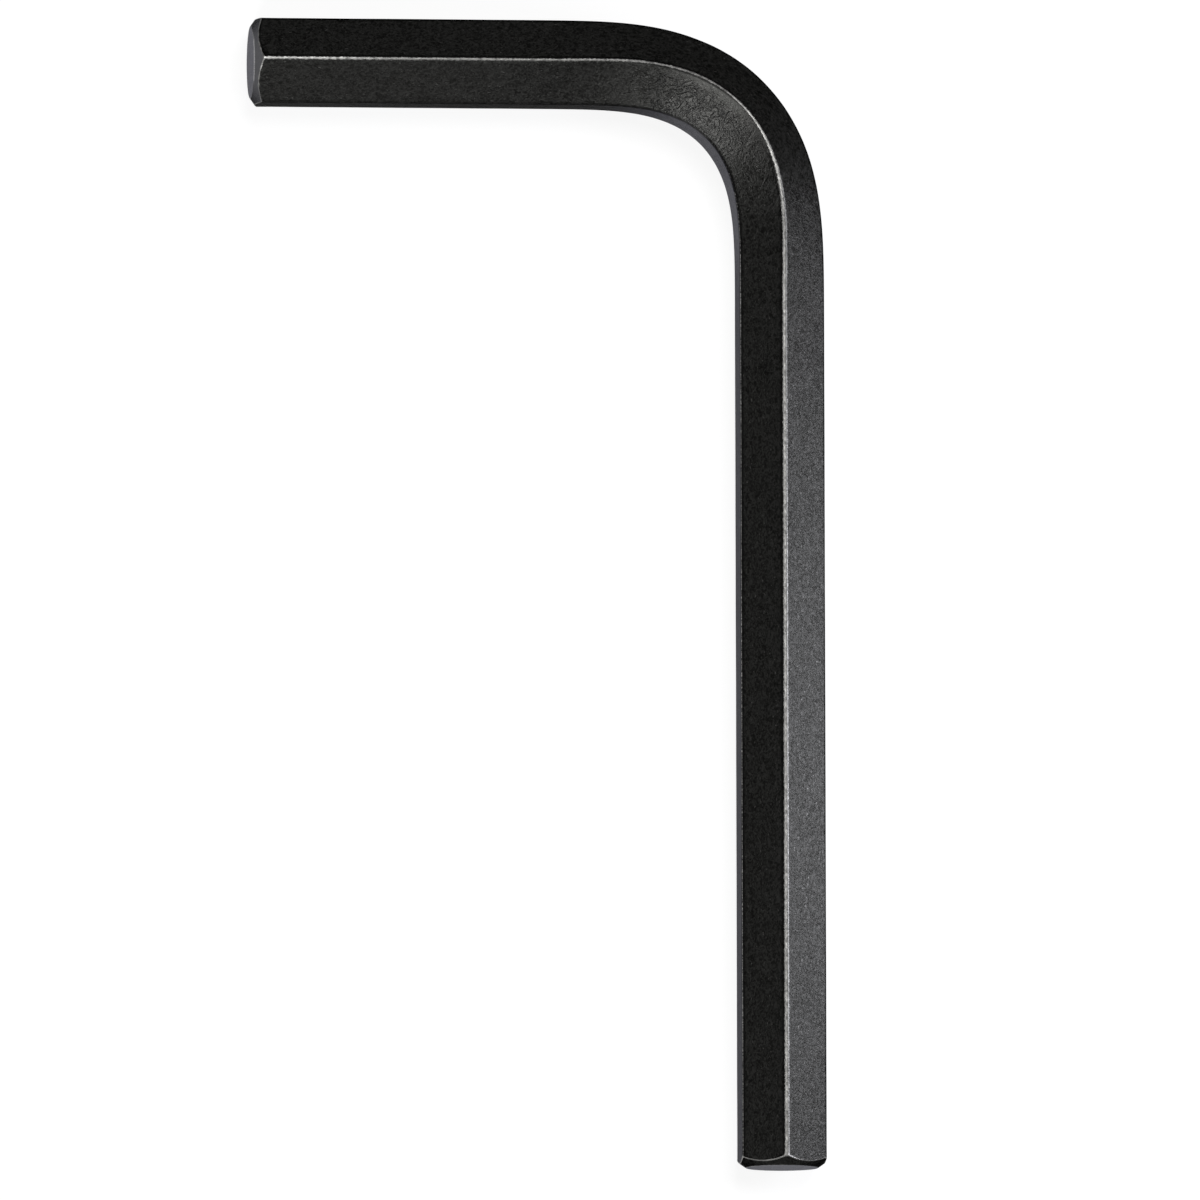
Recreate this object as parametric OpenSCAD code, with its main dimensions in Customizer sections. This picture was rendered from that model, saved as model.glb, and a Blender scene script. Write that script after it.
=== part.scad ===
// Hex key: one length of hexagonal bar with a bend of ninety degrees.
// It lies flat on two of its ridges. The short arm points to -X, the long arm to -Y,
// and the origin is on the resting surface, below the middle of the outline.

/* [Bar] */
// Width of the bar across two opposite flats
across_flats = 8; // [3:0.5:14]
// Radius of the rounded ridges between the flats
edge_r = 0.4; // [0.15:0.05:0.45]

/* [Arms] */
// Long arm, from its tip to the outer flat of the short arm
long_length = 108; // [90:1:200]
// Short arm, from its tip to the outer flat of the long arm
short_length = 54; // [46:1:90]

/* [Bend] */
// Length of bar that the bend takes up, measured along the middle of the bar
bend_length = 39; // [34:1:48]
// How far the outer flat is drawn in where the bend is tightest
outer_draw = 0.15; // [0:0.05:0.3]
// How much of its half width the outer flat loses there
outer_narrowing = 0.35; // [0:0.05:0.4]
// How much half width the inner flat gains there
inner_spread = 0.6; // [0:0.05:0.7]
// How far the front and back ridges move outward there
ridge_shift = 0.45; // [0:0.05:0.6]
// How far those two ridges sink there, so that the key lies on its straight arms
ridge_draw = 0.05; // [0.02:0.01:0.2]

/* [Tips] */
// How far the edge of the disc at each tip lies inside the flats
tip_inset = 0.6; // [0.1:0.1:1.2]
// Slope of the turned chamfer round each disc, from the plane of the disc
tip_slope = 35; // [20:1:50]

/* [Hidden] */

// Half the width across flats, and the distance from the axis to a sharp ridge
flat_offset = across_flats / 2;
ridge_offset = across_flats / sqrt(3);

// The part lies with its lowest ridges, rounded by edge_r, on z = 0
rest_height = ridge_offset - edge_r * (2 / sqrt(3) - 1);

// Distance from the crossing of the two axes to each tip
long_reach = long_length - flat_offset;
short_reach = short_length - flat_offset;

// Shift from the crossing of the axes to the middle of the outline
centre_shift = [(short_reach - flat_offset) / 2, (long_reach - flat_offset) / 2, rest_height];

// Radius of the flat disc at each tip
tip_disc_r = flat_offset - tip_inset;

// The bar is cut this much too long, and turned inside this radius, before its tip is shaped
spare_length = across_flats;
blank_r = across_flats;

// Steps round each ridge, round a turned surface and along the bend
ARC_STEPS = 4;
TURNED_STEPS = 96;
BEND_STEPS = 60;

// Angle that the bend turns the bar through
BEND_ANGLE = 90;

// Direction of the bar at the share u of the bend: the curvature swells and fades like a bell
function heading(u) = BEND_ANGLE * (u - sin(360 * u) / (2 * PI));

// Curvature at the share u of the bend, from 0 at its ends to 1 where it is tightest
function tightness(u) = (1 - cos(360 * u)) / 2;

// One step along the middle of the bar, from station i to the next
function bend_step(i) =
    let (turn = heading((i + 0.5) / BEND_STEPS))
    [cos(turn), -sin(turn)] * bend_length / BEND_STEPS;

// Sum of the numbers in a list
function total(values) = values * [for (value = values) 1];

// How far the whole bend reaches along either arm
bend_reach = total([for (i = [0:BEND_STEPS - 1]) bend_step(i).x]);

// Middle of the bar at each station of the bend
bend_path = [
    for (i = 0, place = [-bend_reach, 0]; i <= BEND_STEPS; place = place + bend_step(i), i = i + 1)
        place
];

function unit(v) = v / norm(v);

// Points of the arc that rounds one corner of an outline drawn anticlockwise
function rounded_corner(before, corner, after, r) =
    let (
        back = unit(before - corner),
        ahead = unit(after - corner),
        half_angle = acos(back * ahead) / 2,
        centre = corner + unit(back + ahead) * r / sin(half_angle),
        spoke = corner + back * r / tan(half_angle) - centre,
        start = atan2(spoke.y, spoke.x),
        sweep = 180 - 2 * half_angle
    )
    [
        for (i = [0:ARC_STEPS])
            let (angle = start + sweep * i / ARC_STEPS)
            centre + r * [cos(angle), sin(angle)]
    ];

// Sharp corners of the section. Its first axis points out of the bend, its second up.
// The share t says how far the bend has squeezed it: 0 is the true hexagon.
function sharp_section(t) =
    let (
        outer = flat_offset - t * outer_draw,
        outer_half = ridge_offset / 2 - t * outer_narrowing,
        inner_half = ridge_offset / 2 + t * inner_spread,
        ridge = ridge_offset - t * ridge_draw
    )
    [
        [outer, -outer_half],
        [outer, outer_half],
        [t * ridge_shift, ridge],
        [-flat_offset, inner_half],
        [-flat_offset, -inner_half],
        [t * ridge_shift, -ridge]
    ];

// The section with every ridge rounded
function section(t) =
    let (sharp = sharp_section(t), n = len(sharp))
    [
        for (i = [0:n - 1])
            each rounded_corner(sharp[(i + n - 1) % n], sharp[i], sharp[(i + 1) % n], edge_r)
    ];

// The section set across the bar at station i of the bend
function bend_ring(i) =
    let (turn = heading(i / BEND_STEPS), across = [sin(turn), cos(turn)])
    [
        for (point = section(tightness(i / BEND_STEPS)))
            [bend_path[i].x + across.x * point.x, bend_path[i].y + across.y * point.x, point.y]
    ];

// Turned outline that the straight bar is cut to: a chamfer running in to the disc at the top
module turned_tip(length) {
    taper = (blank_r - tip_disc_r) * tan(tip_slope);
    rotate_extrude($fn = TURNED_STEPS)
        polygon([
            [0, -spare_length],
            [blank_r, -spare_length],
            [blank_r, length - taper],
            [tip_disc_r, length],
            [0, length]
        ]);
}

// Straight length of bar, from z = 0 up to its tip
module arm(length) {
    intersection() {
        linear_extrude(length + spare_length) polygon(section(0));
        turned_tip(length);
    }
}

// The bent length of bar, swept through the rings
module bend() {
    ring_size = len(section(0));
    points = [for (i = [0:BEND_STEPS], point = bend_ring(i)) point];
    sides = [
        for (i = [0:BEND_STEPS - 1], j = [0:ring_size - 1])
            let (here = i * ring_size, there = here + ring_size, k = (j + 1) % ring_size)
            each [[here + j, there + j, there + k], [here + j, there + k, here + k]]
    ];
    first_cap = [for (j = [0:ring_size - 1]) j];
    last_cap = [for (j = [ring_size - 1:-1:0]) BEND_STEPS * ring_size + j];
    polyhedron(points = points, faces = concat([first_cap], sides, [last_cap]), convexity = 4);
}

// The whole key: one solid
module hex_key() {
    color([0.17, 0.17, 0.18])
        translate(centre_shift) {
            translate([-bend_reach, 0, 0]) rotate([-90, 0, 90]) arm(short_reach - bend_reach);
            translate([0, -bend_reach, 0]) rotate([90, 0, 0]) arm(long_reach - bend_reach);
            bend();
        }
}

hex_key();
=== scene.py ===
import math

import bpy
from mathutils import Matrix, Vector, noise


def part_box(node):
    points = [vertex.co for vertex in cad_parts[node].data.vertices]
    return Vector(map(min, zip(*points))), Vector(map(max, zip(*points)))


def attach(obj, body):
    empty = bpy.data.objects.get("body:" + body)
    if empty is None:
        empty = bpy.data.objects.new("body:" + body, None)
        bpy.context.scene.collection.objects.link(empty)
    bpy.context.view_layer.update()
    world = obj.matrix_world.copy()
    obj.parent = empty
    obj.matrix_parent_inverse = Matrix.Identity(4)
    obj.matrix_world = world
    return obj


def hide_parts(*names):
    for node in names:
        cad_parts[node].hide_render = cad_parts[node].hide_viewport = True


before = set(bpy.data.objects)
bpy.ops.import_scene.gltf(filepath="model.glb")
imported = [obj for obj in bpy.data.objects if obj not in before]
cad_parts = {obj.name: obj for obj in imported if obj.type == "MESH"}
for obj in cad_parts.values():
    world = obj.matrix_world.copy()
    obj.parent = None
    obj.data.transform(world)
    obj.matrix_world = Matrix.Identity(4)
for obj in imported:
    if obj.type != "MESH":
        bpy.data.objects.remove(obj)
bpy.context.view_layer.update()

NODE = "hex_key"
BODY = "root"
MM = 0.001

# The bar, in millimetres: the same sizes as the solid that the detailed mesh stands for
SIDES = 6
ACROSS_FLATS = 8.0
EDGE_R = 0.4
BEND_LENGTH = 39.0
OUTER_DRAW = 0.15
OUTER_NARROWING = 0.35
INNER_SPREAD = 0.6
RIDGE_SHIFT = 0.45
RIDGE_DRAW = 0.05
TIP_INSET = 0.6
TIP_SLOPE = math.radians(35)

FLAT_OFFSET = ACROSS_FLATS / 2
RIDGE_OFFSET = ACROSS_FLATS / math.sqrt(3)
TIP_DISC_R = FLAT_OFFSET - TIP_INSET

# The arms reach as far as the solid does
low, high = (Vector(corner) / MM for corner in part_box(NODE))
SHORT_REACH = high.x - low.x - FLAT_OFFSET
LONG_REACH = high.y - low.y - FLAT_OFFSET
AXES_CROSS = Vector((high.x - FLAT_OFFSET, high.y - FLAT_OFFSET, (low.z + high.z) / 2))

# How finely the mesh is divided
ARC_STEPS = 8
FLAT_STEPS = 14
BEND_STEPS = 150
ARM_STEP = 0.5
TIP_ROWS = 5
DISC_ROWS = 8

# The rings are square to the bar from this far behind either tip
SQUARE_FROM = 1.4
# Half the width of the softened edge round the chamfer and the disc
EDGE_SOFT = 0.05

# How far the mesh lies inside the solid where the surface is uneven: everywhere, and more in the bend
UNEVEN = 0.018
BEND_UNEVEN = 0.03
# Shares of that depth: its mean, slow waves, and fine waves in the bend; then their waves per millimetre
MEAN_DEPTH = 0.5
SLOW_DEPTH = 0.35
FINE_DEPTH = 0.3
SLOW_WAVES = 0.22
FINE_WAVES = 0.9
FINE_SHIFT = Vector((31.0, 7.0, 3.0))
# The depth grows from nothing over this length behind the chamfer
EVEN_LENGTH = 1.0

# The ridges by number: the front and back ones, and the two of the inner flat
LYING_RIDGES = (2, 5)
INNER_RIDGES = (3, 4)
# How far the wear reaches from the front and back ridges: on the short arm, the bend, the long arm
SHORT_WEAR = 0.13
BEND_WEAR = 0.09
LONG_WEAR = 0.27
# How soon it widens from the bend to the long arm, as a power of the squeeze
LONG_WIDENING = 3
# Wear on the line of each ridge. Inside the long arm the key was gripped; an unworn ridge stays below 0.
LYING_RIDGE_WEAR = 1.0
INNER_RIDGE_WEAR = 0.25
NO_RIDGE_WEAR = -0.5
# How far the wear reaches from the edges of the tips
TIP_WEAR = 0.065
# How much further it reaches at the front and back ridges, and how far from them that fades out
CORNER_WEAR = 0.07
CORNER_SPAN = 2.0
# How much less the edge of the disc is worn than the edge where the chamfer meets the sides
DISC_EDGE_SHELTER = 0.55
# The two outer ridges get a painted shade line this near to the outer flat and this far from the middle of
# it
RIM_WIDTH = 0.13
RIM_LOW = 1.6

# Zones of the surface, as the material reads them
SIDE = 0.0
CHAMFER = 1.0
DISC = 2.0


def heading(u):
    """Direction of the bar, as an angle, at the share u of the bend."""
    return math.pi / 2 * (u - math.sin(2 * math.pi * u) / (2 * math.pi))


def tightness(u):
    """Curvature at the share u of the bend, from 0 at its ends to 1 where it is tightest."""
    return (1 - math.cos(2 * math.pi * u)) / 2


def bend_path():
    """Middle of the bar at each station of the bend, and how far the bend reaches along either arm."""
    turns = [heading((i + 0.5) / BEND_STEPS) for i in range(BEND_STEPS)]
    step = BEND_LENGTH / BEND_STEPS
    reach = step * sum(math.cos(turn) for turn in turns)
    places = [Vector((-reach, 0))]
    for turn in turns:
        places.append(places[-1] + step * Vector((math.cos(turn), -math.sin(turn))))
    return places, reach


BEND_PATH, BEND_REACH = bend_path()
SHORT_STRAIGHT = SHORT_REACH - BEND_REACH
LONG_STRAIGHT = LONG_REACH - BEND_REACH
BEND_END = SHORT_STRAIGHT + BEND_LENGTH
BEND_MIDDLE = SHORT_STRAIGHT + BEND_LENGTH / 2
BAR_LENGTH = BEND_END + LONG_STRAIGHT


def bar_at(s):
    """Middle of the bar, its heading and the squeeze of its section, s along it from the short tip."""
    if s <= SHORT_STRAIGHT:
        return Vector((s - SHORT_REACH, 0)), 0.0, 0.0
    if s >= BEND_END:
        return Vector((0, BAR_LENGTH - LONG_REACH - s)), math.pi / 2, 0.0
    u = (s - SHORT_STRAIGHT) / BEND_LENGTH
    whole = min(int(u * BEND_STEPS), BEND_STEPS - 1)
    place = BEND_PATH[whole].lerp(BEND_PATH[whole + 1], u * BEND_STEPS - whole)
    return place, heading(u), tightness(u)


def sharp_section(t):
    """Sharp corners of the section, squeezed by the share t: out of the bend, then up."""
    outer = FLAT_OFFSET - t * OUTER_DRAW
    outer_half = RIDGE_OFFSET / 2 - t * OUTER_NARROWING
    inner_half = RIDGE_OFFSET / 2 + t * INNER_SPREAD
    ridge = RIDGE_OFFSET - t * RIDGE_DRAW
    shift = t * RIDGE_SHIFT
    corners = [
        (outer, -outer_half), (outer, outer_half), (shift, ridge),
        (-FLAT_OFFSET, inner_half), (-FLAT_OFFSET, -inner_half), (shift, -ridge),
    ]
    return [Vector(corner) for corner in corners]


def rounded_corner(before, corner, after):
    """Points of the arc that rounds one corner, each with its distance from the ridge line."""
    back = (before - corner).normalized()
    ahead = (after - corner).normalized()
    half_angle = back.angle(ahead) / 2
    centre = corner + (back + ahead).normalized() * EDGE_R / math.sin(half_angle)
    spoke = corner + back * EDGE_R / math.tan(half_angle) - centre
    start = math.atan2(spoke.y, spoke.x)
    sweep = math.pi - 2 * half_angle
    points = []
    for i in range(ARC_STEPS + 1):
        angle = start + sweep * i / ARC_STEPS
        place = centre + EDGE_R * Vector((math.cos(angle), math.sin(angle)))
        points.append((place, EDGE_R * sweep * abs(i / ARC_STEPS - 0.5)))
    return points


def wear_range(corner, s):
    """Wear on the line of a ridge, s along the bar, and how far from the line it falls by 1."""
    t = bar_at(s)[2]
    if s < BEND_MIDDLE:
        reach = SHORT_WEAR + (BEND_WEAR - SHORT_WEAR) * t
    else:
        reach = LONG_WEAR + (BEND_WEAR - LONG_WEAR) * t**LONG_WIDENING
    if corner in LYING_RIDGES:
        return LYING_RIDGE_WEAR, reach
    if corner in INNER_RIDGES and s > BEND_MIDDLE:
        return INNER_RIDGE_WEAR * (1 - t), reach
    return NO_RIDGE_WEAR, reach


def tip_wear(gap, reach=TIP_WEAR):
    """Wear at this distance from an edge of the tip."""
    return 1 - gap / reach


def corner_reach(place):
    """How far the wear reaches back from the chamfer here; it is further beside the lying ridges."""
    return TIP_WEAR + CORNER_WEAR * max(0.0, 1 - abs(place.x) / CORNER_SPAN)


def section(s):
    """The section s along the bar, each point with its wear: rounded ridges, and even steps between."""
    sharp = sharp_section(bar_at(s)[2])
    arcs = [rounded_corner(sharp[i - 1], sharp[i], sharp[(i + 1) % SIDES]) for i in range(SIDES)]
    ranges = [wear_range(i, s) for i in range(SIDES)]

    def ridge_wear(corner, gap):
        peak, reach = ranges[corner]
        return peak - gap / reach

    points = []
    for i, arc in enumerate(arcs):
        following = (i + 1) % SIDES
        points += [(place, ridge_wear(i, gap)) for place, gap in arc]
        (start, gap), (end, next_gap) = arc[-1], arcs[following][0]
        for k in range(1, FLAT_STEPS):
            place = start.lerp(end, k / FLAT_STEPS)
            before = ridge_wear(i, gap + (place - start).length)
            after = ridge_wear(following, next_gap + (place - end).length)
            points.append((place, max(before, after)))
    return points


RING = section(0.0)
RING_SIZE = len(RING)


def unevenness(s, place, t):
    """How deep a point of the surface lies inside the true form, in millimetres."""
    spot = Vector((s, place.x, place.y))
    slow = SLOW_DEPTH * noise.noise(spot * SLOW_WAVES)
    fine = FINE_DEPTH * t * noise.noise(spot * FINE_WAVES + FINE_SHIFT)
    return (UNEVEN + t * BEND_UNEVEN) * (MEAN_DEPTH + slow + fine)


def outer_rim_shade(place, t):
    """1 on the two ridges of the outer flat, which get painted shade, and 0 elsewhere."""
    outer_gap = FLAT_OFFSET - t * OUTER_DRAW - place.x
    return 1.0 if outer_gap < RIM_WIDTH and abs(place.y) > RIM_LOW else 0.0


class BarMesh:
    """Collects the points, faces and surface values of the whole key."""

    def __init__(self):
        self.points = []
        self.bar_places = []
        self.wears = []
        self.squeezes = []
        self.rim_shades = []
        self.faces = []
        self.zones = []

    def add_point(self, s, place, wear, t=0.0, depth=0.0, rim_shade=0.0):
        middle, turn, _ = bar_at(s)
        across = Vector((math.sin(turn), math.cos(turn)))
        if place.length > 0:
            place = place * (1 - depth / place.length)
        flat = middle + across * place.x
        self.points.append((AXES_CROSS + Vector((flat.x, flat.y, place.y))) * MM)
        self.bar_places.append((s, place.x, place.y))
        self.wears.append(wear)
        self.squeezes.append(t)
        self.rim_shades.append(rim_shade)
        return len(self.points) - 1

    def add_row(self, row, new_row, zone):
        for j in range(RING_SIZE):
            k = (j + 1) % RING_SIZE
            self.faces.append((row[j], new_row[j], new_row[k], row[k]))
            self.zones.append(zone)


def tip_depth(place):
    """How far back from the disc the chamfer meets the side of the bar at this point."""
    return (place.length - TIP_DISC_R) * math.tan(TIP_SLOPE)


def side_rows():
    """Distances along the bar of each ring of the side, as one list for each ring."""
    near = [tip_depth(place) for place, _ in RING]
    soft = [gap + EDGE_SOFT for gap in near]
    rows = [near, soft]
    for k in range(1, TIP_ROWS + 1):
        rows.append([gap + (SQUARE_FROM - gap) * k / TIP_ROWS for gap in soft])
    far_rows = [[BAR_LENGTH - s for s in row] for row in reversed(rows)]
    spans = [
        (SQUARE_FROM, SHORT_STRAIGHT, math.ceil((SHORT_STRAIGHT - SQUARE_FROM) / ARM_STEP)),
        (SHORT_STRAIGHT, BEND_END, BEND_STEPS),
        (BEND_END, BAR_LENGTH - SQUARE_FROM, math.ceil((LONG_STRAIGHT - SQUARE_FROM) / ARM_STEP)),
    ]
    for start, end, count in spans:
        rows += [[start + (end - start) * k / count] * RING_SIZE for k in range(1, count + 1)]
    return rows[:-1] + far_rows


def add_side(mesh):
    """The six flats and six ridges. Returns the two rings where they meet the chamfers."""
    rows = []
    for stations in side_rows():
        row = []
        for (place, wear), s in zip(section(stations[0]), stations):
            t = bar_at(s)[2]
            end_gap = max(min(s, BAR_LENGTH - s) - tip_depth(place), 0.0)
            depth = unevenness(s, place, t) * min(1.0, end_gap / EVEN_LENGTH)
            edge_wear = tip_wear(end_gap, corner_reach(place))
            row.append(mesh.add_point(s, place, max(wear, edge_wear), t, depth, outer_rim_shade(place, t)))
        rows.append(row)
    for row, new_row in zip(rows, rows[1:]):
        mesh.add_row(row, new_row, SIDE)
    return rows[0], rows[-1]


def chamfer_shares(width):
    """How far across the chamfer its rows lie: near the side, halfway, near the disc, at the disc."""
    soft = EDGE_SOFT / width
    return soft, 0.5, 1 - soft, 1.0


def add_tip(mesh, rim_row, near_end):
    """The turned chamfer from the side's last ring in to the disc, and the disc itself."""
    def station(depth):
        return depth if near_end else BAR_LENGTH - depth

    def join(row, new_row, zone):
        if near_end:
            mesh.add_row(new_row, row, zone)
        else:
            mesh.add_row(row, new_row, zone)

    row = rim_row
    widths = [place.length - TIP_DISC_R for place, _ in RING]
    for shares in zip(*map(chamfer_shares, widths)):
        new_row = []
        for (place, _), width, share in zip(RING, widths, shares):
            inner = place.normalized() * (place.length - width * share)
            wear = tip_wear(width * min(share, 1 - share))
            if share > 0.5:
                wear -= DISC_EDGE_SHELTER
            new_row.append(mesh.add_point(station(tip_depth(place) * (1 - share)), inner, wear))
        join(row, new_row, CHAMFER)
        row = new_row
    for k in range(DISC_ROWS):
        radius = (TIP_DISC_R - EDGE_SOFT) * (1 - k / DISC_ROWS)
        wear = tip_wear(TIP_DISC_R - radius) - DISC_EDGE_SHELTER
        new_row = [mesh.add_point(station(0.0), place.normalized() * radius, wear) for place, _ in RING]
        join(row, new_row, DISC)
        row = new_row
    centre = mesh.add_point(station(0.0), Vector((0, 0)), tip_wear(TIP_DISC_R))
    for j in range(RING_SIZE):
        k = (j + 1) % RING_SIZE
        mesh.faces.append((centre, row[j], row[k]) if near_end else (row[j], centre, row[k]))
        mesh.zones.append(DISC)


def make_key():
    """The detailed key as one closed mesh, with the values that its material reads."""
    built = BarMesh()
    first_row, last_row = add_side(built)
    add_tip(built, first_row, True)
    add_tip(built, last_row, False)
    data = bpy.data.meshes.new("hex_key_detailed")
    data.from_pydata(built.points, [], built.faces)
    data.polygons.foreach_set("use_smooth", [True] * len(data.polygons))
    place = data.attributes.new("bar_place", "FLOAT_VECTOR", "POINT")
    place.data.foreach_set("vector", [value for spot in built.bar_places for value in spot])
    for name, values in {"wear": built.wears, "squeeze": built.squeezes, "rim_shade": built.rim_shades}.items():
        data.attributes.new(name, "FLOAT", "POINT").data.foreach_set("value", values)
    data.attributes.new("zone", "FLOAT", "FACE").data.foreach_set("value", built.zones)
    data.update()
    piece = bpy.data.objects.new("hex_key_detailed", data)
    bpy.context.scene.collection.objects.link(piece)
    return piece


WHITE = (1, 1, 1, 1)
NOISE_MEAN = 0.5


class Nodes:
    """Short calls that add the nodes of one material and link them."""

    def __init__(self, material):
        material.use_nodes = True
        self.tree = material.node_tree
        self.tree.nodes.clear()

    def feed(self, socket, value):
        if isinstance(value, bpy.types.NodeSocket):
            self.tree.links.new(value, socket)
        else:
            socket.default_value = value

    def add(self, kind, inputs=None, **settings):
        node = self.tree.nodes.new(kind)
        for name, value in settings.items():
            setattr(node, name, value)
        for key, value in (inputs or {}).items():
            self.feed(node.inputs[key], value)
        return node

    def attribute(self, name, output="Fac"):
        return self.add("ShaderNodeAttribute", attribute_name=name).outputs[output]

    def math(self, operation, *values):
        return self.add("ShaderNodeMath", dict(enumerate(values)), operation=operation).outputs[0]

    def product(self, first, *others):
        for other in others:
            first = self.math("MULTIPLY", first, other)
        return first

    def total(self, first, *others):
        for other in others:
            first = self.math("ADD", first, other)
        return first

    def magnitude(self, value):
        return self.math("ABSOLUTE", value)

    def span(self, value, start, end, low=0.0, high=1.0):
        """Eases from low to high as value goes from start to end."""
        inputs = {"Value": value, "From Min": start, "From Max": end, "To Min": low, "To Max": high}
        return self.add("ShaderNodeMapRange", inputs, interpolation_type="SMOOTHSTEP").outputs["Result"]

    def between(self, share, first, second):
        """Eases from the first value to the second as the share goes from 0 to 1."""
        return self.span(share, 0.0, 1.0, first, second)

    def stretched(self, place, stretch):
        return self.add("ShaderNodeVectorMath", {0: place, 1: stretch}, operation="MULTIPLY").outputs[0]

    def noise(self, place, scale, detail=2.0, roughness=0.5, distortion=0.0, stretch=None):
        """A noise with this many waves per millimetre, times the stretch along, out and up."""
        inputs = {
            "Vector": self.stretched(place, stretch) if stretch else place,
            "Scale": scale, "Detail": detail, "Roughness": roughness, "Distortion": distortion,
        }
        return self.add("ShaderNodeTexNoise", inputs).outputs["Fac"]

    def creases(self, place, scale, width, stretch):
        """Winding lines, 1 along their middle, that run where a twisted noise crosses its mean."""
        twisted = self.noise(place, scale, detail=1.0, distortion=1.2, stretch=stretch)
        off_mean = self.magnitude(self.math("SUBTRACT", twisted, NOISE_MEAN))
        return self.span(off_mean, 0.0, width, 1.0, 0.0)

    def blend(self, share, first, second):
        """Goes from the first colour to the second as the share goes from 0 to 1."""
        mix = self.add("ShaderNodeMix", data_type="RGBA")
        for name, value in {"Factor": share, "A": first, "B": second}.items():
            self.feed(next(s for s in mix.inputs if s.name == name and s.enabled), value)
        return next(s for s in mix.outputs if s.enabled)


# Ramps of the material, here and below: where each starts and ends, then its values there, where they
# aren't 0 and 1. Distances are in millimetres, along the bar from the short tip or out from its middle.
LONG_HALF = (BEND_MIDDLE, BEND_MIDDLE + 14.0)
RIGHT_FACE = (0.1, 0.5)
FOLD_SQUEEZE = (0.25, 0.75)
FOLD_INWARD = (0.3, -1.0)
FOLD_FADE = (BEND_MIDDLE - 2.0, BEND_MIDDLE + 8.0, 1.0, 0.35)
# A zone's number is met within this margin
ZONE_MARGIN = 0.4


class Surface:
    """What the material knows of each point: its place on the bar, its zone, and the patterns there."""

    def __init__(self, n):
        self.place = n.attribute("bar_place", "Vector")
        self.along, self.outward, self.up = n.add("ShaderNodeSeparateXYZ", {"Vector": self.place}).outputs
        self.wear = n.attribute("wear")
        self.squeeze = n.attribute("squeeze")
        self.rim_shade = n.attribute("rim_shade")
        zone = n.attribute("zone")
        zones = [n.math("COMPARE", zone, kind, ZONE_MARGIN) for kind in (SIDE, CHAMFER, DISC)]
        self.side, self.chamfer, self.disc = zones
        self.short_half = n.math("LESS_THAN", self.along, BEND_MIDDLE)
        self.long_half = n.span(self.along, *LONG_HALF)
        self.right_face = n.product(self.long_half, n.span(self.outward, *RIGHT_FACE))
        self.folded = n.product(
            n.span(self.squeeze, *FOLD_SQUEEZE),
            n.span(self.outward, *FOLD_INWARD),
            n.span(self.along, *FOLD_FADE),
        )
        self.grain = n.noise(self.place, scale=6.0, roughness=0.6)
        self.worms = n.noise(self.place, scale=3.3, roughness=0.55, distortion=1.8, stretch=(0.7, 1.0, 1.0))
        self.ragged = n.noise(self.place, scale=4.5, detail=3.0, roughness=0.75, stretch=(1.0, 0.4, 0.4))
        wrinkles = n.creases(self.place, scale=1.35, width=0.12, stretch=(0.8, 1.0, 1.0))
        self.wrinkled = n.product(wrinkles, self.folded)
        veins = n.creases(self.place, scale=2.7, width=0.09, stretch=(0.75, 1.0, 1.0))
        self.veined = n.product(veins, self.right_face, self.side)


# Painted highlight: how bright the worn ridge is along the bar, as ramps that add up
HIGHLIGHT_ALONG = (
    (7.0, 13.0, 0.42, 0.19),
    (BEND_MIDDLE - 16.0, BEND_MIDDLE - 8.0, 0.0, -0.04),
    (BEND_MIDDLE - 3.0, BEND_MIDDLE + 2.0, 0.0, 0.26),
    (BEND_MIDDLE, BEND_MIDDLE + 9.0, 0.0, 0.45),
)
# Painted shade: what its right side loses of that on the long arm
RIGHT_SHADE = (-0.1, 0.12, 0.0, 0.6)
# Painted glint: what the edge of the chamfer gains at the front and back ridges, by the distance from the
# tip and outward
CORNER_GLINT = (0.85, 1.15, 0.55, 0.0)
CORNER_GLINT_FADE = (0.3, 2.0, 1.0, 0.0)


def painted_highlight(n, at):
    """How bright the worn steel is: a painted highlight along the bar, with painted shade on the right side
    of the long ridge and painted glints near the tips.
    """
    # Painted shade on the right side of the long ridge
    right_shade = n.product(at.long_half, n.span(at.outward, *RIGHT_SHADE))
    ridge = n.product(
        n.total(*(n.span(at.along, *ramp) for ramp in HIGHLIGHT_ALONG)),
        n.math("SUBTRACT", 1.0, right_shade),
    )
    from_tip = n.math("MINIMUM", at.along, n.math("SUBTRACT", BAR_LENGTH, at.along))
    # Painted glint on the edge of the chamfer near either tip, at the front and back ridges
    corner = n.product(n.span(from_tip, *CORNER_GLINT), n.span(n.magnitude(at.outward), *CORNER_GLINT_FADE))
    return n.math("MINIMUM", n.math("ADD", ridge, corner), 1.0)


# How far the noise shifts the edge of the wear: its ramp, and its reach on the short and the long arm
FRAY = (0.3, 0.7, -1.0, 1.0)
FRAY_REACH = (0.45, 0.16)
# Wear at which the steel turns bare
WORN = (0.0, 0.35)
# Darker dashes along the crest of the long ridge
DASHES = (0.4, 0.6, 0.45, 0.75)
CREST = (0.55, 0.75)
# Scrapes that break the shine, with their least shine on the short and the long arm
SCRAPES = (0.3, 0.65)
SCRAPED_LOW = (0.35, 0.65)
# Rare light flecks on the flats
FLECKS = (0.68, 0.76, 0.0, 0.13)


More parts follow.
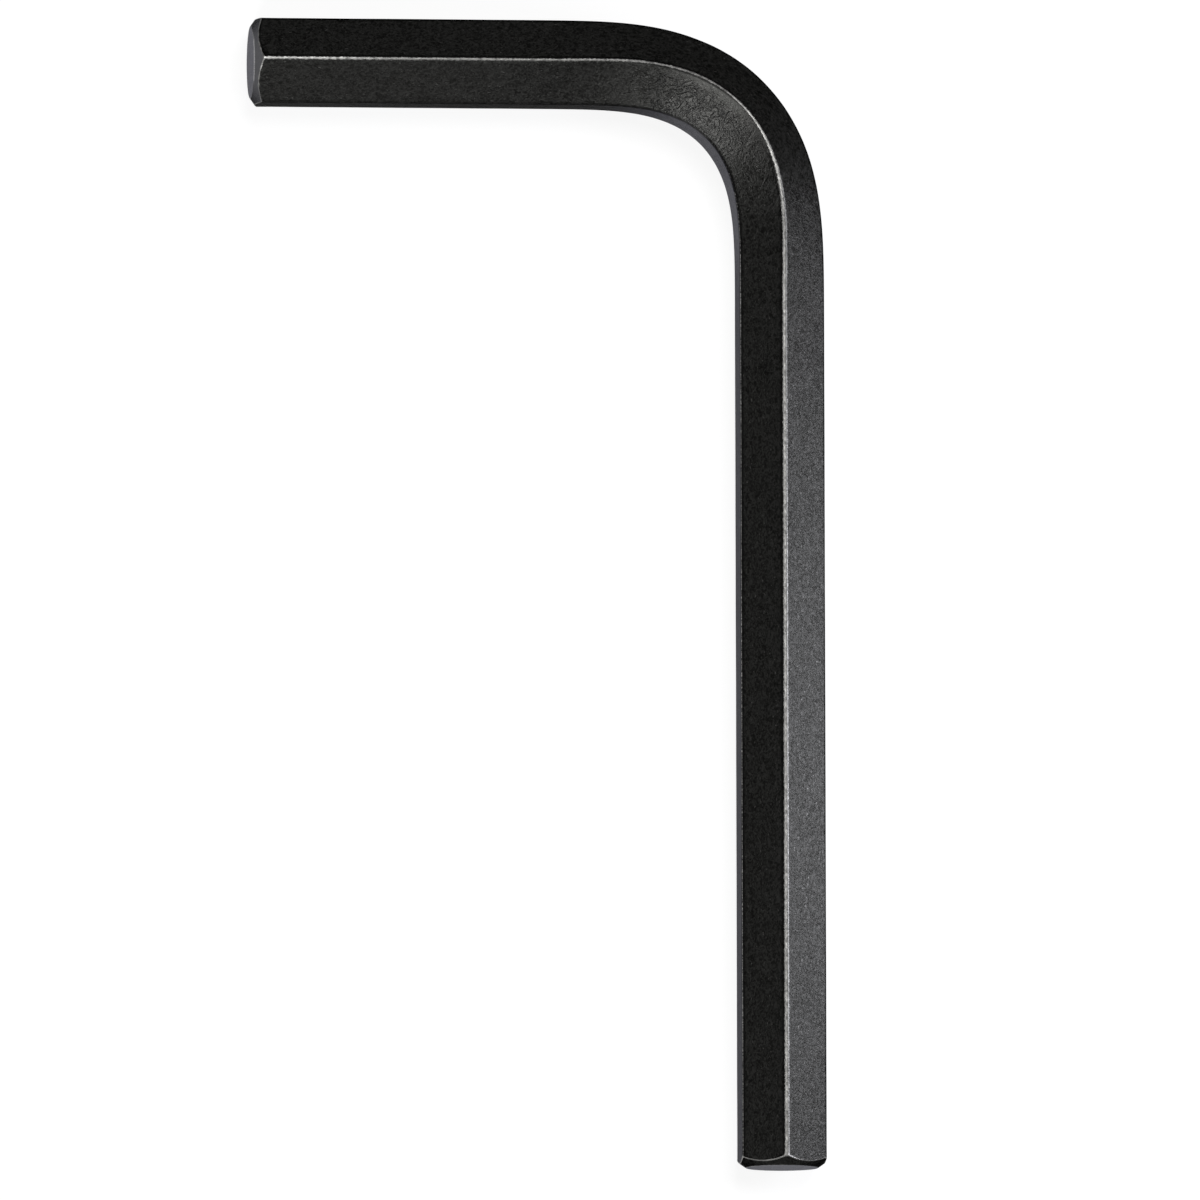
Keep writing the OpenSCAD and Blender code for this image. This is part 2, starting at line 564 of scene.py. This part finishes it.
def bare_metal_and_highlight(n, at):
    """Share of bare steel: ragged bright lines on the ridges and round the tips, and rare flecks, made
    brighter or dimmer by the painted highlight along the bar.
    """
    fray = n.product(n.span(at.ragged, *FRAY), n.between(at.long_half, *FRAY_REACH))
    worn = n.span(n.math("ADD", at.wear, fray), *WORN)
    dashes = n.span(n.noise(at.place, scale=1.6, detail=1.0, stretch=(1.0, 0.3, 0.3)), *DASHES)
    crest = n.product(at.long_half, dashes, n.span(at.wear, *CREST))
    scrapes = n.noise(at.place, scale=2.0, roughness=0.6)
    scraped = n.span(scrapes, *SCRAPES, n.between(at.long_half, *SCRAPED_LOW), 1.0)
    # The painted highlight sets how bright the worn lines are along the bar
    worn = n.product(worn, n.math("SUBTRACT", 1.0, crest), scraped, painted_highlight(n, at))
    specks = n.noise(at.place, scale=4.6, detail=1.0, distortion=1.0, stretch=(0.8, 1.9, 1.9))
    return n.math("MAXIMUM", worn, n.product(n.span(specks, *FLECKS), at.side))


# Where the oxide is thin: start and end of the ramp, each elsewhere and then on the right face
THIN_START = (0.36, 0.43)
THIN_END = (0.64, 0.58)


def thin_oxide(n, at):
    """Light spots of thinner oxide, with harder edges on the right face of the long arm."""
    return n.span(at.worms, n.between(at.right_face, *THIN_START), n.between(at.right_face, *THIN_END))


# The inner face, the stretch of it that the bend worked, and the fainter one all along the short arm
INNER_FACE = (0.5, 0.0)
WORKED_FROM = (BEND_MIDDLE - 9.0, BEND_MIDDLE - 3.5)
WORKED_TO = (BEND_MIDDLE - 0.5, BEND_MIDDLE + 6.5, 1.0, 0.0)
SHORT_ARM = (SHORT_STRAIGHT - 5.0, SHORT_STRAIGHT + 1.0, 0.28, 0.0)
INNER_SPOTS = (0.3, 0.7, 0.55, 0.85)


def inner_face(n, at):
    """Lighter oxide on the inner face: where the bend worked the steel, and faintly on the short arm."""
    bend = n.product(n.span(at.along, *WORKED_FROM), n.span(at.along, *WORKED_TO))
    lighter = n.math("ADD", bend, n.span(at.along, *SHORT_ARM))
    return n.product(at.side, n.span(at.outward, *INNER_FACE), lighter, n.span(at.worms, *INNER_SPOTS))


INNER_EDGE_SQUEEZE = (0.6, 0.95)
INNER_EDGE_INWARD = (-1.2, -3.4, 0.0, 0.45)
INNER_EDGE_FADE = (BEND_MIDDLE, BEND_MIDDLE + 5.0, 1.0, 0.1)


def inner_edge(n, at):
    """Still lighter oxide towards the inner flat, in the first half of the bend."""
    return n.product(
        at.side,
        n.span(at.squeeze, *INNER_EDGE_SQUEEZE),
        n.span(at.outward, *INNER_EDGE_INWARD),
        n.span(at.along, *INNER_EDGE_FADE),
    )


# The painted shade line beside the ridge: where it changes sides, and the wear where it starts and is full,
# each on the short and the long arm
SIDE_CHANGE = (BEND_MIDDLE - 6.0, BEND_MIDDLE + 6.0, 1.0, -1.0)
SIDE_EDGE = (0.0, 0.1)
LINE_START = (-2.6, -1.3)
LINE_FULL = (-1.4, -0.3)
SHADE_LINE_SHARE = 0.65


def shade_beside_ridge(n, at):
    """Painted shade: a dark line beside the worn ridge, on its outer side on the short arm, its inner on
    the long arm.
    """
    shaded_side = n.product(at.outward, n.span(at.along, *SIDE_CHANGE))
    start = n.between(at.long_half, *LINE_START)
    full = n.between(at.long_half, *LINE_FULL)
    return n.product(n.span(at.wear, start, full, 0.0, SHADE_LINE_SHARE), n.span(shaded_side, *SIDE_EDGE), at.side)


# The scratches: how they lean and stretch, where they lie and fade along the bar, and where they end
SCUFF_LEAN = 1.3
SCUFF_STRETCH = 0.4
SCUFF_MIDDLE = BEND_MIDDLE + 8.0
SCUFF_FADE = (1.5, 5.0, 1.0, 0.0)
SCUFF_LINES = (0.54, 0.64)
SCUFF_INNER_END = (-2.4, -1.4)
SCUFF_OUTER_END = (0.3, 0.1)
SCUFF_SHARE = 0.6


def scuffs(n, at):
    """Slanted scratches on the inner face, where the bend runs out into the long arm."""
    lean = n.math("ADD", at.along, n.product(at.outward, SCUFF_LEAN))
    slanted = n.add("ShaderNodeCombineXYZ", {"X": lean, "Y": n.product(at.outward, SCUFF_STRETCH)})
    from_middle = n.magnitude(n.math("SUBTRACT", at.along, SCUFF_MIDDLE))
    return n.product(
        n.span(n.noise(slanted.outputs[0], scale=2.6, detail=1.0), *SCUFF_LINES),
        at.side,
        n.span(from_middle, *SCUFF_FADE),
        n.span(at.outward, *SCUFF_INNER_END),
        n.span(at.outward, *SCUFF_OUTER_END),
        SCUFF_SHARE,
    )


# The light line round the short tip's disc: half its width, how far up or down it starts, its spots
BORDER_WIDTH = (0.05, 0.16, 1.0, 0.0)
BORDER_UP = (2.4, 3.1)
BORDER_SPOTS = (0.35, 0.6, 0.3, 0.9)
ACROSS_THE_BAR = (0.0, 1.0, 1.0)


def disc_border(n, at):
    """Light line round the edge of the short tip's disc, near the front and back ridges."""
    across = n.stretched(at.place, ACROSS_THE_BAR)
    radius = n.add("ShaderNodeVectorMath", {0: across}, operation="LENGTH").outputs["Value"]
    return n.product(
        n.span(n.magnitude(n.math("SUBTRACT", radius, TIP_DISC_R)), *BORDER_WIDTH),
        n.span(n.magnitude(at.up), *BORDER_UP),
        n.span(at.worms, *BORDER_SPOTS),
        n.math("SUBTRACT", 1.0, at.side),
        at.short_half,
    )


# Colours of the steel, as the share of the light that it reflects
OXIDE_DARK = (0.012, 0.012, 0.0112, 1)
OXIDE_LIGHT = (0.015, 0.015, 0.0142, 1)
OXIDE_THIN = (0.034, 0.034, 0.0325, 1)
GRAIN_LIGHT = (0.045, 0.045, 0.043, 1)
VEIN_LIGHT = (0.05, 0.05, 0.048, 1)
INNER_FACE_LIGHT = (0.043, 0.043, 0.041, 1)
INNER_EDGE_LIGHT = (0.066, 0.066, 0.064, 1)
# Painted shade in the creases of the wrinkles
WRINKLE_SHADE = (0.014, 0.014, 0.0136, 1)
# Painted shade, for the line beside the worn ridge and on the outer ridges
SHADE_LINE_DARK = (0.003, 0.003, 0.003, 1)
DISC_GREY = (0.05, 0.05, 0.054, 1)
PIT_DARK = (0.01, 0.01, 0.01, 1)
SCUFF_LIGHT = (0.06, 0.06, 0.058, 1)
CHAMFER_GREY = (0.11, 0.11, 0.115, 1)
BORDER_LIGHT = (0.42, 0.42, 0.43, 1)
BARE_STEEL = (0.46, 0.455, 0.44, 1)

# Ramps and shares of the plainer layers of the oxide, and of the painted shade in the wrinkles and on the
# outer ridges
CLOUDS = (0.35, 0.65)
GRAIN_SHARE = (0.5, 0.75, 0.0, 0.4)
VEIN_SHARE = 0.45
WRINKLE_SHADE_SHARE = 0.36
RIM_SHADE_SHARE = 0.65
DISC_SPOTS = (0.36, 0.64, 0.45, 0.92)
PITS = (0.19, 0.16)


def oxide_colour(n, at):
    """Colour of the blackened steel, with painted shade in the wrinkles, beside the worn ridge and on the
    outer ridges. Each layer covers the ones before it by its share.
    """
    cloud = n.noise(at.place, scale=0.35, detail=3.0)
    pits = n.span(n.noise(at.place, scale=1.9, detail=0.0), *PITS)
    layers = (
        (thin_oxide(n, at), OXIDE_THIN),
        (n.span(at.grain, *GRAIN_SHARE), GRAIN_LIGHT),
        (n.product(at.veined, VEIN_SHARE), VEIN_LIGHT),
        (inner_face(n, at), INNER_FACE_LIGHT),
        (inner_edge(n, at), INNER_EDGE_LIGHT),
        # Painted shade in the creases of the wrinkles in the bend
        (n.product(at.wrinkled, WRINKLE_SHADE_SHARE), WRINKLE_SHADE),
        # Painted shade beside the worn ridge
        (shade_beside_ridge(n, at), SHADE_LINE_DARK),
        # Painted shade along the two outer ridges
        (n.product(at.rim_shade, RIM_SHADE_SHARE), SHADE_LINE_DARK),
        (n.product(at.disc, n.span(at.worms, *DISC_SPOTS)), DISC_GREY),
        (n.product(at.disc, pits), PIT_DARK),
        (scuffs(n, at), SCUFF_LIGHT),
        (n.product(at.chamfer, at.short_half), CHAMFER_GREY),
        (disc_border(n, at), BORDER_LIGHT),
    )
    colour = n.blend(n.span(cloud, *CLOUDS), OXIDE_DARK, OXIDE_LIGHT)
    for share, layer in layers:
        colour = n.blend(share, colour, layer)
    return colour


# Share of its reflection that the blackened steel keeps at a glancing view: on the sides, on the discs
SIDE_TINT = (0.1, 0.1, 0.105, 1)
DISC_TINT = (0.6, 0.6, 0.65, 1)
# The inner flat is like the discs by these shares, in the bend and on the long arm
INNER_FLAT = (-3.7, -3.9)
BEND_SHARE = 0.9
LONG_ARM_SHARE = 0.65


def glancing_tint(n, at, bare_and_highlight):
    """How much the steel reflects at a glancing view. Bare steel keeps it all."""
    shares = n.total(n.product(at.squeeze, BEND_SHARE), n.product(at.long_half, LONG_ARM_SHARE))
    inner_flat = n.product(at.side, n.span(at.outward, *INNER_FLAT), shares)
    oxide = n.blend(n.math("MAXIMUM", at.disc, inner_flat), SIDE_TINT, DISC_TINT)
    return n.blend(bare_and_highlight, oxide, WHITE)


# Heights in millimetres. Those of the worms and the grain are on the flats, then where the bend is folded.
WORM_HEIGHT = (0.022, 0.009)
GRAIN_HEIGHT = (0.008, 0.004)
FULLY_FOLDED = 0.8
VEIN_HEIGHT = 0.01
RIPPLE_HEIGHT = 0.06
WRINKLE_HEIGHT = -0.03
RAGGED_HEIGHT = (-0.2, 0.3, 0.0, 0.012)


def relief(n, at):
    """Height of the surface: grain and worms all over, ripples and wrinkles in the bend, ragged wear."""
    ripples = n.noise(at.place, scale=1.9, detail=1.0, distortion=2.2, stretch=(0.8, 1.0, 1.0))
    return n.total(
        n.product(at.worms, n.span(at.folded, 0.0, FULLY_FOLDED, *WORM_HEIGHT)),
        n.product(at.grain, n.span(at.folded, 0.0, FULLY_FOLDED, *GRAIN_HEIGHT)),
        n.product(at.veined, VEIN_HEIGHT),
        n.product(ripples, at.folded, RIPPLE_HEIGHT),
        n.product(at.wrinkled, WRINKLE_HEIGHT),
        n.product(at.ragged, n.span(at.wear, *RAGGED_HEIGHT)),
    )


ROUGHNESS = (0.3, 0.7, 0.39, 0.48)


def black_oxide():
    """Blackened steel: grained flats, a wrinkled bend, ridges and edges worn to bare metal, with painted
    highlights and glints on the worn lines and painted shade lines.
    """
    material = bpy.data.materials.new("black_oxide")
    n = Nodes(material)
    at = Surface(n)
    bare_and_highlight = bare_metal_and_highlight(n, at)
    bump = n.add("ShaderNodeBump", {"Strength": 1.0, "Distance": MM, "Height": relief(n, at)})
    shader = n.add("ShaderNodeBsdfPrincipled", {
        "Base Color": n.blend(bare_and_highlight, oxide_colour(n, at), BARE_STEEL),
        "Metallic": 1.0,
        "Roughness": n.span(at.worms, *ROUGHNESS),
        "Specular Tint": glancing_tint(n, at, bare_and_highlight),
        "Normal": bump.outputs[0],
    })
    n.add("ShaderNodeOutputMaterial", {"Surface": shader.outputs[0]})
    return material


# The floor's colour, the share of its look that is plain white to the camera, and half its width in metres
FLOOR_COLOUR = (0.95, 0.95, 0.95, 1)
FLOOR_WHITE = 0.85
FLOOR_HALF = 6.0


def floor_paint():
    """White floor that shows white to the camera and to shiny things, and keeps the shadow."""
    material = bpy.data.materials.new("floor_white")
    n = Nodes(material)
    path = n.add("ShaderNodeLightPath")
    seen = n.math("MAXIMUM", path.outputs["Is Camera Ray"], path.outputs["Is Glossy Ray"])
    seen = n.math("MAXIMUM", seen, path.outputs["Is Transmission Ray"])
    matt = n.add("ShaderNodeBsdfDiffuse", {"Color": FLOOR_COLOUR})
    white = n.add("ShaderNodeEmission", {"Color": WHITE, "Strength": 1.0})
    share = n.math("MULTIPLY", seen, FLOOR_WHITE)
    mixed = n.add("ShaderNodeMixShader", {0: share, 1: matt.outputs[0], 2: white.outputs[0]})
    n.add("ShaderNodeOutputMaterial", {"Surface": mixed.outputs[0]})
    return material


def make_floor():
    """A plain floor under the lowest point of the key."""
    corners = [(-1, -1), (1, -1), (1, 1), (-1, 1)]
    data = bpy.data.meshes.new("floor")
    data.from_pydata([(x * FLOOR_HALF, y * FLOOR_HALF, low.z * MM) for x, y in corners], [], [(0, 1, 2, 3)])
    data.materials.append(floor_paint())
    floor = bpy.data.objects.new("floor", data)
    bpy.context.scene.collection.objects.link(floor)


# Middle of the picture: from the crossing of the bar's axes in millimetres, then as a place in metres
PICTURE_MIDDLE = Vector((-17.06, -50.54, 0.0))
LOOK_AT = (AXES_CROSS + PICTURE_MIDDLE) * MM
# Width of the picture at the key
VIEW_WIDTH = 112.81 * MM
# The turns of the camera away from straight above, and its distance in metres
CAMERA_YAW = math.radians(-6.2)
CAMERA_PITCH = math.radians(5.2)
CAMERA_ROLL = math.radians(-0.154)
CAMERA_DISTANCE = 5.0
SENSOR = 36.0


def make_camera():
    """A long lens that looks down on the key, a little from its left and from below."""
    data = bpy.data.cameras.new("camera")
    data.sensor_width = SENSOR
    data.lens = SENSOR * CAMERA_DISTANCE / VIEW_WIDTH
    camera = bpy.data.objects.new("camera", data)
    turn = Matrix.Rotation(CAMERA_YAW, 4, "Y") @ Matrix.Rotation(CAMERA_PITCH, 4, "X")
    turn = turn @ Matrix.Rotation(CAMERA_ROLL, 4, "Z")
    camera.matrix_world = Matrix.Translation(LOOK_AT) @ turn @ Matrix.Translation((0, 0, CAMERA_DISTANCE))
    bpy.context.scene.collection.objects.link(camera)
    bpy.context.scene.camera = camera


def softbox(name, direction, distance, size, radiance, colour=(1, 1, 1)):
    """A rectangular lamp that faces the middle of the picture and looks evenly bright from there."""
    lamp = bpy.data.lights.new(name, "AREA")
    lamp.shape = "RECTANGLE"
    lamp.size, lamp.size_y = size
    lamp.color = colour
    lamp.energy = radiance * math.pi * lamp.size * lamp.size_y
    holder = bpy.data.objects.new(name, lamp)
    towards = Vector(direction).normalized()
    holder.location = LOOK_AT + towards * distance
    holder.rotation_euler = towards.to_track_quat("Z", "Y").to_euler()
    bpy.context.scene.collection.objects.link(holder)


# Softboxes: one for the bend, a close one for the right side, one low on the left, one overhead
SOFTBOXES = {
    "lamp_bend": {
        "direction": (-0.275, -0.487, 0.83), "distance": 1.2, "size": (0.28, 0.28), "radiance": 34.0,
    },
    "lamp_right": {
        "direction": (0.92, -0.03, 0.38), "distance": 0.17, "size": (0.06, 0.09), "radiance": 15.3,
        "colour": (0.913, 0.919, 1.0),
    },
    "lamp_left": {
        "direction": (-0.97, 0.1, 0.25), "distance": 1.2, "size": (0.4, 0.4), "radiance": 2.0,
    },
    "lamp_top": {
        "direction": (0.1, 0.3, 0.95), "distance": 1.2, "size": (0.5, 0.5), "radiance": 16.0,
    },
}
ROOM_LIGHT = 0.01


def make_lights():
    """The softboxes, in a room that is almost dark."""
    for name, values in SOFTBOXES.items():
        softbox(name, **values)
    world = bpy.data.worlds.new("room")
    world.use_nodes = True
    backdrop = world.node_tree.nodes["Background"]
    backdrop.inputs["Color"].default_value = WHITE
    backdrop.inputs["Strength"].default_value = ROOM_LIGHT
    bpy.context.scene.world = world


make_camera()
make_lights()
make_floor()
key = make_key()
key.data.materials.append(black_oxide())
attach(key, BODY)
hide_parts(NODE)

bpy.context.scene.view_settings.view_transform = "Standard"
